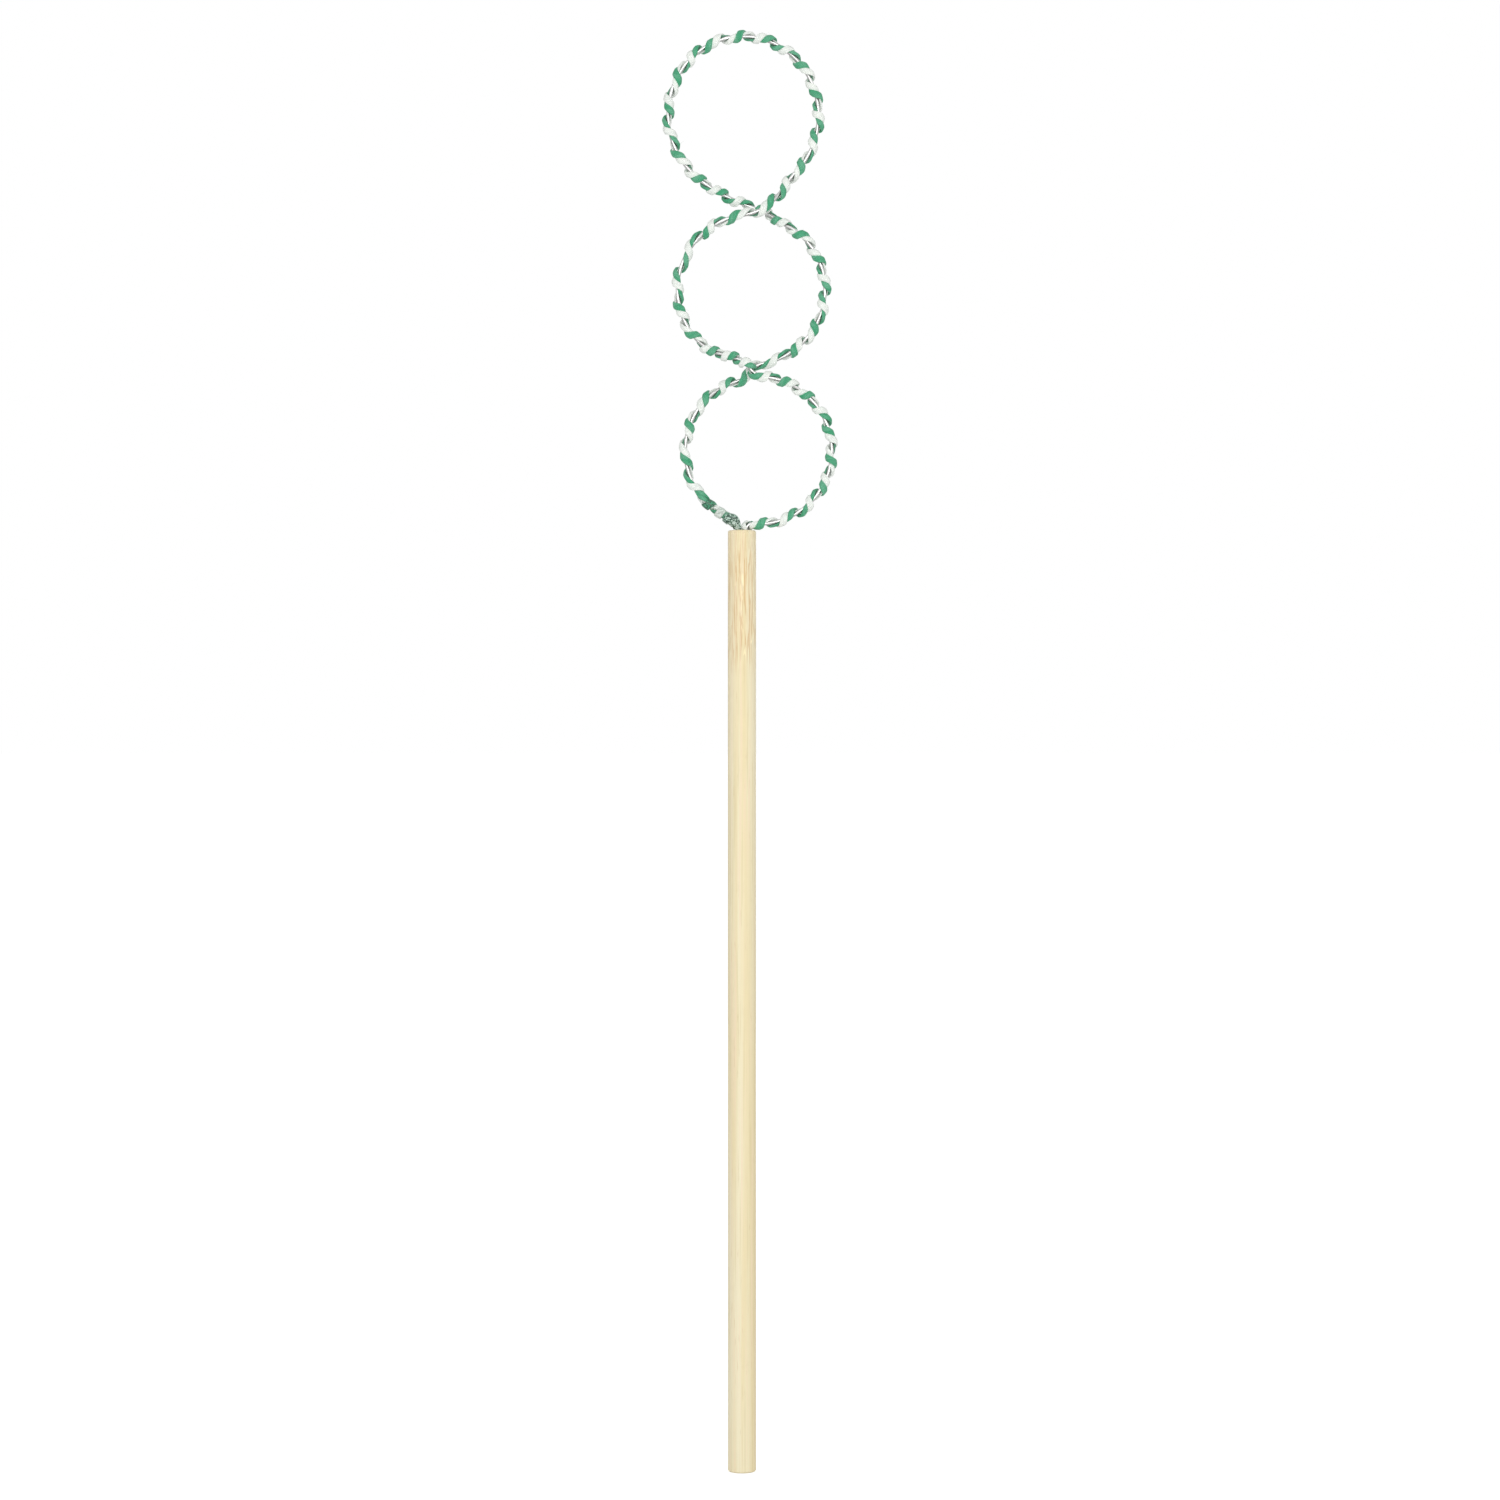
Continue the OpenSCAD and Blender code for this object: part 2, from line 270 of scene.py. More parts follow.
def tubes(name, parts):
    """One mesh of closed tubes: each part is (rings, uvs, attributes), all of them arrays."""
    verts, faces, uvs, layers = [], [], [], {}
    offset = 0
    for rings, part_uvs, attributes in parts:
        count, sides, _ = rings.shape
        part_faces, ring, column = corner_faces(count, sides)
        faces += [[v + offset for v in face] for face in part_faces]
        verts.append(rings.reshape(-1, 3))
        uvs.append(part_uvs[ring, column])
        for layer, values in attributes.items():
            layers.setdefault(layer, []).append(np.broadcast_to(values, (count, sides)).reshape(-1))
        offset += count * sides
    mesh = bpy.data.meshes.new(name)
    mesh.from_pydata(np.concatenate(verts).tolist(), [], faces)
    mesh.uv_layers.new(name="lay").data.foreach_set("uv", np.concatenate(uvs).astype(np.float32).ravel())
    for layer, values in layers.items():
        attribute = mesh.attributes.new(layer, "FLOAT", "POINT")
        attribute.data.foreach_set("value", np.concatenate(values).astype(np.float32))
    mesh.shade_smooth()
    obj = bpy.data.objects.new(name, mesh)
    bpy.context.scene.collection.objects.link(obj)
    return obj


# A line that runs this nearly along Y has its rings set by X instead
NEARLY_Y = 0.9


def round_rings(points, radius, sides):
    """Rings round a line of points, with lay coordinates: length in mm, and share of the way round."""
    t = units(np.gradient(points, axis=0))
    level = np.where(np.abs(t[:, 1:2]) > NEARLY_Y, np.array([[1.0, 0, 0]]), UP_Y[None, :])
    side = units(np.cross(t, level))
    out = np.cross(side, t)
    angles = -np.linspace(0, 2 * math.pi, sides, endpoint=False)
    offsets = side[:, None] * np.cos(angles)[None, :, None] + out[:, None] * np.sin(angles)[None, :, None]
    rings = points[:, None] + offsets * np.broadcast_to(radius, (len(points),))[:, None, None]
    u = np.broadcast_to(line_lengths(points)[:, None] / MM, (len(points), sides + 1))
    v = np.broadcast_to(np.linspace(0, 1, sides + 1)[None, :], (len(points), sides + 1))
    return rings, np.stack([u, v], axis=2)


# The wire
WIRE_RING_STEP = 0.25 * MM
WIRE_SIDES = 20


def make_wire():
    s = np.linspace(0, route.s[-1], int(route.s[-1] / WIRE_RING_STEP))
    rings, uvs = round_rings(route.at(s), WIRE_R, WIRE_SIDES)
    wire = tubes("wire", [(rings, uvs, {})])
    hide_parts("wire_loops")
    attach(wire, "root")
    return wire


# The winding's two ends, and where the twine passes behind the wire: at turn 1.5, and then once a turn.
# Places are in mm along the wire, from the left leg's foot
FIRST_TURN, LAST_TURN = 0.0, 55.84
FIRST_PLACE, LAST_PLACE = 16.6, 321.5
REAR_TURN = 1.5
REAR_PLACES = (
    20.3, 24.0, 30.4, 37.6, 42.9, 49.7, 54.4, 60.8, 67.9, 72.7, 78.3, 83.8, 89.1, 94.6, 100.4,
    105.5, 110.6, 115.8, 120.9, 125.7, 131.6, 137.7, 143.4, 149.6, 154.5, 160.6, 165.6, 171.1,
    176.5, 182.1, 187.9, 192.9, 199.2, 204.8, 210.0, 216.5, 223.7, 229.0, 237.3, 243.8, 249.1,
    255.1, 259.5, 263.3, 267.4, 272.9, 277.7, 282.5, 287.8, 293.3, 298.3, 303.6, 309.3, 315.3, 320.9,
)
# Periods of the two plies' lay where the twine passes in front of the wire: at turn 0, then once a turn
FRONT_LAY = (
    0.05, 0.65, 1.2, 1.75, 2.46, 3.12, 3.96, 4.85, 5.5, 5.67, 6.46, 7.08, 7.79, 8.63, 9.46,
    10.21, 10.92, 12.15, 12.71, 13.63, 14.42, 15.00, 15.75, 16.54, 17.17, 17.83, 18.54, 19.17,
    19.92, 20.71, 21.46, 22.08, 22.83, 23.63, 24.38, 24.92, 25.52, 26.08, 26.88, 27.79, 28.67,
    29.50, 30.21, 31.08, 31.95, 32.83, 33.63, 34.42, 35.12, 35.83, 36.54, 37.21, 37.96, 38.79, 39.62,
    40.33, 40.96,
)
# The same for each mm of the tails
LAY_PER_MM = 0.094

# The first turns and the last are pressed flat: from flat to the full form over these turns, and back
FLAT_TURNS = (2.2, 3.2)
LAST_FLAT_TURNS = (54.8, 55.3)
WIDER_SHARE = 0.2
THINNER_SHARE = 0.25
# The twine's own end, laid along the wire beneath its first turns
LAID_END = (14.6 * MM, 28.0 * MM)
LAID_R = 0.66 * MM
LAID_TAPER = 4 * LAID_R
LAID_RINGS = 70
LAID_SIDES = 28

# The twine's section: two soft plies in a flat oval, each thicker where they lie side by side
BAND_W = 2.5 * MM
BAND_T = 0.9 * MM
COIL_GAP = 0.02 * MM
COIL_R = WIRE_R + COIL_GAP + BAND_T / 2
PLY_CENTRE = 0.5
PLY_R = 0.6
# How far a ply is pressed back into the oval: wholly at 1
PRESSED_IN = 0.9
SIDE_BY_SIDE = 0.6
# Parts of a ply's section: beside the other ply, and on the twine's inner side against the wire, which gets
# painted shade
BESIDE = (-0.25, 0.1)
INNER_SHADE_BOUNDS = (0.0, 0.6)
RINGS_PER_TURN = 38
PLY_SIDES = 40
YARNS = 3
YARN_RELIEF = 0.02
YARN_TWIST = 2 * math.pi / (5.5 * MM)
UNEVEN_EVERY = 2.2 * MM
UNEVEN_SHARE = 0.025
# The two plies: slot, share of a period round the twine, and the seeds of the waver and of the fibres
PLIES = (("twine_green", 0.0, SEED, SEED + 1), ("twine_white", 0.5, SEED + 5, SEED + 6))

# The tails: place across the mouth of the hole, and width there
LEFT_TAIL = (-0.86 * MM, 1.6 * MM)
RIGHT_TAIL = (0.4 * MM, 1.4 * MM)
TAIL_Y = -0.3 * MM
TAIL_T = 0.8 * MM
TAIL_DEPTH = 2.6 * MM
TAIL_STEPS = 40
DEEP_STEPS = 8
TAIL_REACH = 0.3
# Shares of a tail in which it turns its flat side to the front, and in which it narrows
TURNS_IN = 0.7
NARROWS_IN = 0.8


def smooth(x, low, high):
    t = np.clip((x - low) / (high - low), 0, 1)
    return t * t * (3 - 2 * t)


def winding():
    """Turn and place on the wire of each ring of the winding."""
    rear_turns = REAR_TURN + np.arange(len(REAR_PLACES))
    turns = np.concatenate([[FIRST_TURN], rear_turns, [LAST_TURN]])
    places = np.concatenate([[FIRST_PLACE], REAR_PLACES, [LAST_PLACE]]) * MM
    turn = np.linspace(FIRST_TURN, LAST_TURN, int((LAST_TURN - FIRST_TURN) * RINGS_PER_TURN) + 1)
    return turn, np.interp(turn, turns, places)


def tail_points(start, start_heading, mouth_x):
    """The twine's middle line from an end of the winding down into the hole."""
    mouth = np.array([mouth_x, TAIL_Y, ROD_LEN])
    reach = TAIL_REACH * np.linalg.norm(mouth - start)
    above = mouth + np.array([0, 0, 2 * reach])
    steps = np.arange(1, TAIL_STEPS + 1) / TAIL_STEPS
    arc = [bezier(start, start + start_heading * reach, above, mouth, t) for t in steps]
    deep = [mouth - np.array([0, 0, TAIL_DEPTH * i / DEEP_STEPS]) for i in range(1, DEEP_STEPS + 1)]
    return np.array(arc + deep)


class Twine:
    """The twine's middle line from the left tail over the winding to the right tail, ring by ring."""

    def __init__(self):
        self.turn, self.s = winding()
        self.angle = np.radians(FRONT + 360 * self.turn)
        point, _, side, back = route.frame(self.s)
        wound_out = side * np.cos(self.angle)[:, None] + back * np.sin(self.angle)[:, None]
        centres = point + wound_out * COIL_R
        left = tail_points(centres[0], unit(centres[0] - centres[1]), LEFT_TAIL[0])[::-1]
        right = tail_points(centres[-1], unit(centres[-1] - centres[-2]), RIGHT_TAIL[0])
        self.first, self.last = len(left), len(left) + len(centres)
        self.line = np.concatenate([left, centres, right])
        self.length = line_lengths(self.line)
        self.heading = units(np.gradient(self.line, axis=0))
        self.turns = np.interp(self.length, self.length[self.first : self.last], self.turn)
        self.left_share, self.right_share = self.tail_shares()
        self.free = self.left_share + self.right_share
        self.out = self.outward(wound_out)
        self.width, self.thick = self.section()
        self.lay = self.lay_at()

    def tail_shares(self):
        """How far each ring has left the winding on the left and on the right: 1 at the hole's mouth."""
        leaving = np.clip(np.arange(1, self.first + 1) / TAIL_STEPS, 0, 1)
        left, right = np.zeros(len(self.line)), np.zeros(len(self.line))
        left[: self.first] = leaving[::-1]
        right[self.last :] = leaving
        return left, right

    def outward(self, wound_out):
        """The twine's outer side at each ring: away from the wire, and to the front in the tails."""
        before = np.tile(wound_out[0], (self.first, 1))
        after = np.tile(wound_out[-1], (len(self.line) - self.last, 1))
        turned = smooth(self.free, 0, TURNS_IN)[:, None]
        out = np.concatenate([before, wound_out, after]) * (1 - turned) - UP_Y[None, :] * turned
        return units(out - self.heading * np.sum(out * self.heading, axis=1)[:, None])

    def section(self):
        """Width and thickness at each ring: flatter in the first and last turns, narrower in the tails."""
        flat = 1 - smooth(self.turns, *FLAT_TURNS) + smooth(self.turns, *LAST_FLAT_TURNS)
        wound = BAND_W * (1 + WIDER_SHARE * flat)
        thick = BAND_T * (1 - THINNER_SHARE * flat)
        left, right = smooth(self.left_share, 0, NARROWS_IN), smooth(self.right_share, 0, NARROWS_IN)
        width = wound + (LEFT_TAIL[1] - wound) * left + (RIGHT_TAIL[1] - wound) * right
        return width, thick + (TAIL_T - thick) * (left + right)

    def lay_at(self):
        """Periods of the lay at each ring: as measured on the winding, even along the tails."""
        length = self.length
        wound = np.interp(self.turn, np.arange(len(FRONT_LAY)), FRONT_LAY)
        start, end = length[self.first], length[self.last - 1]
        before = wound[0] - (start - length[: self.first]) / MM * LAY_PER_MM
        after = wound[-1] + (length[self.last :] - end) / MM * LAY_PER_MM
        return np.concatenate([before, wound, after])

    def slant(self):
        """Sine and cosine of the angle between twine and wire, at each ring of the winding."""
        lead = np.gradient(self.angle) * COIL_R
        along = np.gradient(self.s)
        step = np.hypot(lead, along)
        return (lead / step)[:, None], (along / step)[:, None]

    def wound_points(self, across, out):
        """Points of the winding, moved across the twine round the wire, and outwards from its middle."""
        sine, cosine = self.slant()
        s_at = self.s[:, None] + across * sine
        angle_at = (self.angle[:, None] - across * cosine / COIL_R).ravel()
        point, _, side, back = route.frame(s_at.ravel())
        turned = side * np.cos(angle_at)[:, None] + back * np.sin(angle_at)[:, None]
        wound = point + turned * (COIL_R + out).ravel()[:, None]
        return wound.reshape(s_at.shape + (3,))

    def surface(self, across, out):
        """Points moved across the twine, and outwards from its middle: the tails and the winding."""
        side = np.cross(self.heading, self.out)
        cosine = self.slant()[1]
        near_cosine = np.where(np.arange(len(self.line)) < self.first, cosine[0, 0], cosine[-1, 0])
        bent = across * near_cosine[:, None] / COIL_R
        sag = COIL_R * (1 - np.cos(bent)) * (1 - self.free[:, None])
        points = (
            self.line[:, None]
            + side[:, None] * across[:, :, None]
            + self.out[:, None] * (out - sag)[:, :, None]
        )
        wound = slice(self.first, self.last)
        points[wound] = self.wound_points(across[wound], out[wound])
        return points


def uneven(length, seed):
    """A smooth random waver along the twine."""
    rng = np.random.default_rng(seed)
    knots = np.arange(0, length[-1] + 2 * UNEVEN_EVERY, UNEVEN_EVERY)
    return np.interp(length, knots, rng.normal(0, 1, len(knots)))


# Turns over which the glue's soaking ends, then those of a trace above it, of a patch at turn 2, and of the
# frayed yarns
SOAKED_END = (0.6, 1.1)
TRACE_END, TRACE_SHARE = (1.2, 1.5), 0.45
PATCH_START, PATCH_END, PATCH_SHARE = (1.75, 1.95), (2.15, 2.4), 0.95
FRAYED_END = (0.8, 1.2)


def soak(turns):
    """How far the glue has soaked the twine: the left tail and first turn, and a patch at turn 2."""
    tail = 1 - smooth(turns, *SOAKED_END)
    trace = 1 - smooth(turns, *TRACE_END)
    patch = smooth(turns, *PATCH_START) * (1 - smooth(turns, *PATCH_END))
    return np.maximum(tail, np.maximum(TRACE_SHARE * trace, PATCH_SHARE * patch))


def frayed(turns):
    """How far the yarns are teased apart and mixed: in the left tail and the first turn."""
    return 1 - smooth(turns, *FRAYED_END)


def ply_part(twine, shift, seed):
    """Rings, lay coordinates and attributes of a ply that stands this share of a period round the twine."""
    a = math.pi + np.linspace(0, 2 * math.pi, PLY_SIDES, endpoint=False)[None, :]
    length = twine.length[:, None]
    relief = 1 + YARN_RELIEF * np.cos(YARNS * a + YARN_TWIST * length)
    relief = relief * (1 + UNEVEN_SHARE * uneven(twine.length, seed)[:, None])
    x = PLY_CENTRE + PLY_R * relief * np.cos(a)
    y = PLY_R * relief * np.sin(a)
    inside = np.minimum(1, 1 / np.hypot(x, y)) ** PRESSED_IN
    theta = 2 * math.pi * (twine.lay + shift)[:, None]
    p = inside * (x * np.cos(theta) - y * np.sin(theta))
    q = inside * (x * np.sin(theta) + y * np.cos(theta))
    half_t = twine.thick[:, None] / 2
    out = np.maximum(q * half_t * (1 + SIDE_BY_SIDE * np.cos(theta) ** 2), -half_t)
    rings = twine.surface(p * twine.width[:, None] / 2, out)
    v = np.concatenate([a[0] - math.pi, [2 * math.pi]]) / (2 * math.pi)
    u = np.broadcast_to(length / MM, (len(twine.line), PLY_SIDES + 1))
    uvs = np.stack([u, np.broadcast_to(v[None, :], u.shape)], axis=2)
    attributes = {
        "beside": smooth(-x, *BESIDE),
        # The inner side, against the wire, is marked for painted shade
        "inner_shade": smooth(-q, *INNER_SHADE_BOUNDS),
        "soak": soak(twine.turns)[:, None],
        "frayed": frayed(twine.turns)[:, None],
    }
    return rings, uvs, attributes


def laid_end(twine):
    """The twine's end, laid along the wire beneath the first turns, thinning out at its upper end."""
    s = np.linspace(*LAID_END, LAID_RINGS)
    radius = LAID_R - (LAID_R - WIRE_R) * smooth(s, LAID_END[1] - LAID_TAPER, LAID_END[1])
    rings, uvs = round_rings(route.at(s), radius, LAID_SIDES)
    turns = np.interp(s, twine.s, twine.turn)
    none = np.zeros((1, 1))
    return rings, uvs, {
        "beside": none, "inner_shade": none, "soak": soak(turns)[:, None], "frayed": frayed(turns)[:, None],
    }


# Loose fibres that stand out of the plies
FUZZ_COUNT = 110
FUZZ_LENGTH = (0.3 * MM, 1.0 * MM)
FUZZ_R = 0.011 * MM
FUZZ_TIP = 0.35
FUZZ_SUNK = 0.02 * MM
FUZZ_ASIDE = 0.5
FUZZ_LIFT = (0.15, 0.6)
FUZZ_CURL = (-0.2, 0.5)
FUZZ_STEPS = 6
FUZZ_SIDES = 4


def fibre_line(rng, root, outward, heading_there):
    """A fibre's curved line: it starts just inside the ply and leaves along the twine, either way."""
    along = heading_there * rng.choice([-1.0, 1.0])
    aside = np.cross(outward, along) * rng.normal(0, FUZZ_ASIDE)
    size = rng.uniform(*FUZZ_LENGTH)
    lift = rng.uniform(*FUZZ_LIFT)
    curl = outward * rng.uniform(*FUZZ_CURL) + aside * rng.normal(0, FUZZ_ASIDE)
    t = np.linspace(0, 1, FUZZ_STEPS)[:, None]
    return root - outward * FUZZ_SUNK + size * (t * (along + outward * lift + aside) + t**2 * curl)


def fuzz_parts(twine, ply_rings, seed):
    """Thin curved fibres that leave a ply along the twine and bend out of it."""
    rng = np.random.default_rng(seed)
    none = np.zeros((1, 1))
    parts = []
    for _ in range(FUZZ_COUNT):
        i = int(rng.integers(twine.first, twine.last))
        root = ply_rings[i, int(rng.integers(0, PLY_SIDES))]
        line = fibre_line(rng, root, unit(root - twine.line[i]), twine.heading[i])
        rings, uvs = round_rings(line, FUZZ_R * np.linspace(1, FUZZ_TIP, FUZZ_STEPS), FUZZ_SIDES)
        wet = none + soak(twine.turns[i])
        parts.append((rings, uvs, {"beside": none, "inner_shade": none, "soak": wet, "frayed": none}))
    return parts


def make_twine():
    twine = Twine()
    plies = {}
    for slot, shift, ply_seed, fuzz_seed in PLIES:
        ply = ply_part(twine, shift, ply_seed)
        parts = [ply] + fuzz_parts(twine, ply[0], fuzz_seed)
        if slot == "twine_green":
            parts.append(laid_end(twine))
        obj = tubes(slot + "_ply", parts)
        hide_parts("twine")
        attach(obj, "root")
        plies[slot] = obj
    return plies


# The glue that stands in the mouth of the hole: radius and height of its rings in mm, the rings that stay
# round inside the hole, and how much the others waver, in how many lobes
BEAD_RINGS = ((1.52, -0.5), (1.58, -0.06), (1.7, 0.0), (1.62, 0.07), (1.3, 0.14), (0.8, 0.18), (0.3, 0.19))
BEAD_SIDES = 56
BEAD_ROUND_RINGS = 2
BEAD_WAVER = 0.036
BEAD_LOBES = range(2, 7)


def make_glue_bead():
    rng = np.random.default_rng(SEED)
    a = np.linspace(0, 2 * math.pi, BEAD_SIDES, endpoint=False)
    waver = sum(rng.normal(0, 1) * np.cos(k * a + rng.uniform(0, 2 * math.pi)) / k for k in BEAD_LOBES)
    rings = []
    for i, (r, z) in enumerate(BEAD_RINGS):
        uneven_r = r * (1 + (0 if i < BEAD_ROUND_RINGS else BEAD_WAVER) * waver)
        rings.append(np.stack([uneven_r * np.cos(a), uneven_r * np.sin(a), a * 0 + z], axis=1))
    rings = np.array(rings) * MM + np.array([0, 0, ROD_LEN])
    uvs = np.zeros((len(BEAD_RINGS), BEAD_SIDES + 1, 2))
    bead = tubes("glue_bead", [(rings, uvs, {})])
    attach(bead, "root")
    return bead


# Materials
# The sockets of a Mix node: the factor, the two colours, and the colour that comes out
MIX_FACTOR, MIX_FIRST, MIX_SECOND, MIX_RESULT = 0, 6, 7, 2


class Nodes:
    """A material's nodes, with a short way to add and link the kinds used here."""

    def __init__(self, name):
        self.material = bpy.data.materials.new(name)
        self.material.use_nodes = True
        self.nodes = self.material.node_tree.nodes
        self.shader = self.nodes["Principled BSDF"]

    def put(self, socket, value):
        """Link a node's output to a socket, or set the socket's own value."""
        if isinstance(value, bpy.types.NodeSocket):
            self.material.node_tree.links.new(value, socket)
        else:
            socket.default_value = value

    def set(self, node, values):
        for name, value in values.items():
            self.put(node.inputs[name], value)

    def pattern(self, output, stretch, scale, detail, roughness, distortion=0.0):
        """Noise on texture coordinates that are stretched along each axis."""
        coords = self.nodes.new("ShaderNodeTexCoord")
        mapping = self.nodes.new("ShaderNodeMapping")
        self.set(mapping, {"Vector": coords.outputs[output], "Scale": stretch})
        node = self.nodes.new("ShaderNodeTexNoise")
        self.set(node, {
            "Vector": mapping.outputs["Vector"], "Scale": scale, "Detail": detail, "Roughness": roughness,
            "Distortion": distortion,
        })
        return node.outputs["Fac"]

    def spread(self, value, low, high, to_low=0.0, to_high=1.0):
        """A value between two bounds, spread over two others and held there."""
        node = self.nodes.new("ShaderNodeMapRange")
        node.interpolation_type = "SMOOTHSTEP"
        self.set(node, {
            "Value": value, "From Min": low, "From Max": high, "To Min": to_low, "To Max": to_high,
        })
        return node.outputs["Result"]

    def times(self, a, b):
        node = self.nodes.new("ShaderNodeMath")
        node.operation = "MULTIPLY"
        self.put(node.inputs[0], a)
        self.put(node.inputs[1], b)
        return node.outputs[0]

    def mix(self, factor, a, b):
        """A colour between two colours."""
        node = self.nodes.new("ShaderNodeMix")
        node.data_type = "RGBA"
        for index, value in ((MIX_FACTOR, factor), (MIX_FIRST, a), (MIX_SECOND, b)):
            self.put(node.inputs[index], value)
        return node.outputs[MIX_RESULT]

    def tinted(self, base, pattern, low, high, share, colour, where=None):
        """The base with a colour over it: a share that grows as the pattern goes from low to high."""
        amount = self.spread(pattern, low, high, 0.0, share)
        if where is not None:
            amount = self.times(where, amount)
        return self.mix(amount, base, colour)

    def attribute(self, name):
        node = self.nodes.new("ShaderNodeAttribute")
        node.attribute_name = name
        return node.outputs["Fac"]

    def along(self, output, axis):
        node = self.nodes.new("ShaderNodeSeparateXYZ")
        coords = self.nodes.new("ShaderNodeTexCoord")
        self.put(node.inputs[0], coords.outputs[output])
        return node.outputs[axis]

    def bump(self, height, strength, distance):
        node = self.nodes.new("ShaderNodeBump")
        self.set(node, {"Height": height, "Strength": strength, "Distance": distance})
        self.put(self.shader.inputs["Normal"], node.outputs["Normal"])


def srgb(red, green, blue):
    """A colour given as it shows on screen, from 0 to 255, as the linear colour that a shader takes."""
    shown = [c / 255 for c in (red, green, blue)]
    return tuple([c / 12.92 if c <= 0.04045 else ((c + 0.055) / 1.055) ** 2.4 for c in shown] + [1.0])


def assign(obj, material):
    obj.data.materials.clear()
    obj.data.materials.append(material)


# Patterns of noise: coordinates, stretch along each axis, scale, detail, roughness and distortion. UV
# coordinates are mm along the twine or wire and the share of the way round it, Object's are metres
FIBRES = ("UV", (0.6, 44.0, 1.0), 1.0, 3.0, 0.65, 0.5)
DYE = ("UV", (0.35, 3.0, 1.0), 1.0, 2.0, 0.5)
MOTTLE = ("Object", (1.0, 1.0, 1.0), 3200.0, 3.0, 0.65)
DRAWN_LINES = ("UV", (0.4, 40.0, 1.0), 1.0, 2.0, 0.6)
DULLING = ("UV", (0.25, 2.0, 1.0), 1.0, 2.0, 0.5)
STREAKS = ("Object", (520.0, 520.0, 9.0), 1.0, 2.0, 0.5)
GRAIN = ("Object", (2100.0, 2100.0, 26.0), 1.0, 3.0, 0.6)
DASHES = ("Object", (3300.0, 3300.0, 190.0), 1.0, 2.0, 0.6)
WAVES = ("Object", (2100.0, 2100.0, 105.0), 1.0, 2.0, 0.5, 0.9)
JOINT_LINES = ("Object", (4200.0, 4200.0, 130.0), 1.0, 1.0, 0.5, 0.6)
# Pale flecks at the joint: painted highlight
PAINTED_GLINTS = ("Object", (1400.0, 1400.0, 150.0), 1.0, 2.0, 0.5, 1.4)
CLOUDS = ("Object", (1.0, 1.0, 1.0), 1300.0, 3.0, 0.6)

# Cotton: bounds of a pattern and the share of the colour over it, shares of the even tints, and the
# roughness from dry to wet
FADED = (0.35, 0.65, 1.0)
DEEP = (0.5, 0.7, 0.75)
SPECKS = (0.5, 0.56, 0.85)
SPECK_COLOUR = srgb(206, 226, 214)
WET = (0.6, 0.47)
BESIDE_SHARE = 0.7
# Share of the painted shade on the twine's inner side
INNER_SHADE_SHARE = 0.85
COTTON_ROUGHNESS = (0.2, 0.8, 0.92, 0.45)
COTTON_SHEEN = 0.12
COTTON_SHEEN_ROUGHNESS = 0.5
WET_COAT = 0.2
COTTON_BUMP = (0.35, 0.05 * MM)
# Each ply's inner colour is painted shade of its side against the wire
GREEN = {
    "colour": srgb(62, 155, 112), "faded": srgb(98, 168, 134), "deep": srgb(48, 120, 88),
    "beside": srgb(72, 146, 112), "inner_shade": srgb(92, 138, 114), "soaked": srgb(26, 62, 46),
}
WHITE = {
    "colour": srgb(234, 238, 232), "faded": srgb(226, 231, 226), "deep": srgb(206, 212, 204),
    "beside": srgb(208, 228, 214), "inner_shade": srgb(206, 214, 207), "soaked": srgb(72, 106, 84),
}


def twine_material(name, colour, faded, deep, beside, inner_shade, soaked):
    """Cotton: fibres along the ply, uneven dye, tints beside the other ply, painted shade on its inner
    side, and soaked glue.
    """
    m = Nodes(name)
    fibres = m.pattern(*FIBRES)
    mottle = m.pattern(*MOTTLE)
    base = m.tinted(colour, m.pattern(*DYE), *FADED, faded)
    base = m.tinted(base, fibres, *DEEP, deep)
    base = m.mix(m.times(m.attribute("beside"), BESIDE_SHARE), base, beside)
    # Painted shade on the inner side, against the wire
    base = m.mix(m.times(m.attribute("inner_shade"), INNER_SHADE_SHARE), base, inner_shade)
    base = m.tinted(base, mottle, *SPECKS, SPECK_COLOUR, where=m.attribute("frayed"))
    wet = m.times(m.attribute("soak"), m.spread(mottle, *WET))
    m.set(m.shader, {
        "Base Color": m.mix(wet, base, soaked),
        "Roughness": m.spread(wet, *COTTON_ROUGHNESS),
        "Sheen Weight": COTTON_SHEEN,
        "Sheen Roughness": COTTON_SHEEN_ROUGHNESS,
        "Coat Weight": m.times(wet, WET_COAT),
    })
    m.bump(fibres, *COTTON_BUMP)
    return m.material


# Steel: bright, and duller in places
STEEL = srgb(184, 184, 182)
DULLER = (0.3, 0.7, 1.0, srgb(206, 206, 205))
STEEL_ROUGHNESS = (0.3, 0.7, 0.26, 0.38)
STEEL_BUMP = (0.05, 0.01 * MM)


def wire_material():
    """Drawn steel: bright, with faint lines along the wire."""
    m = Nodes("drawn_steel")
    lines = m.pattern(*DRAWN_LINES)
    m.set(m.shader, {
        "Base Color": m.tinted(STEEL, m.pattern(*DULLING), *DULLER),
        "Metallic": 1.0,
        "Roughness": m.spread(lines, *STEEL_ROUGHNESS),
    })
    m.bump(lines, *STEEL_BUMP)
    return m.material


# Bamboo: bounds of a pattern, the share of the colour over it, and the colour
BAMBOO = srgb(233, 224, 192)
STREAK_TINT = (0.34, 0.66, 1.0, srgb(228, 213, 170))
WARM_TINT = (0.5, 0.66, 0.7, srgb(234, 214, 182))
DULL_TINT = (0.48, 0.34, 0.6, srgb(216, 200, 154))
DASH_TINT = (0.63, 0.74, 0.35, srgb(200, 174, 126))
WAVE_TINT = (0.5, 0.6, 0.25, srgb(212, 182, 132))
LINE_TINT = (0.54, 0.6, 0.65, srgb(204, 164, 110))
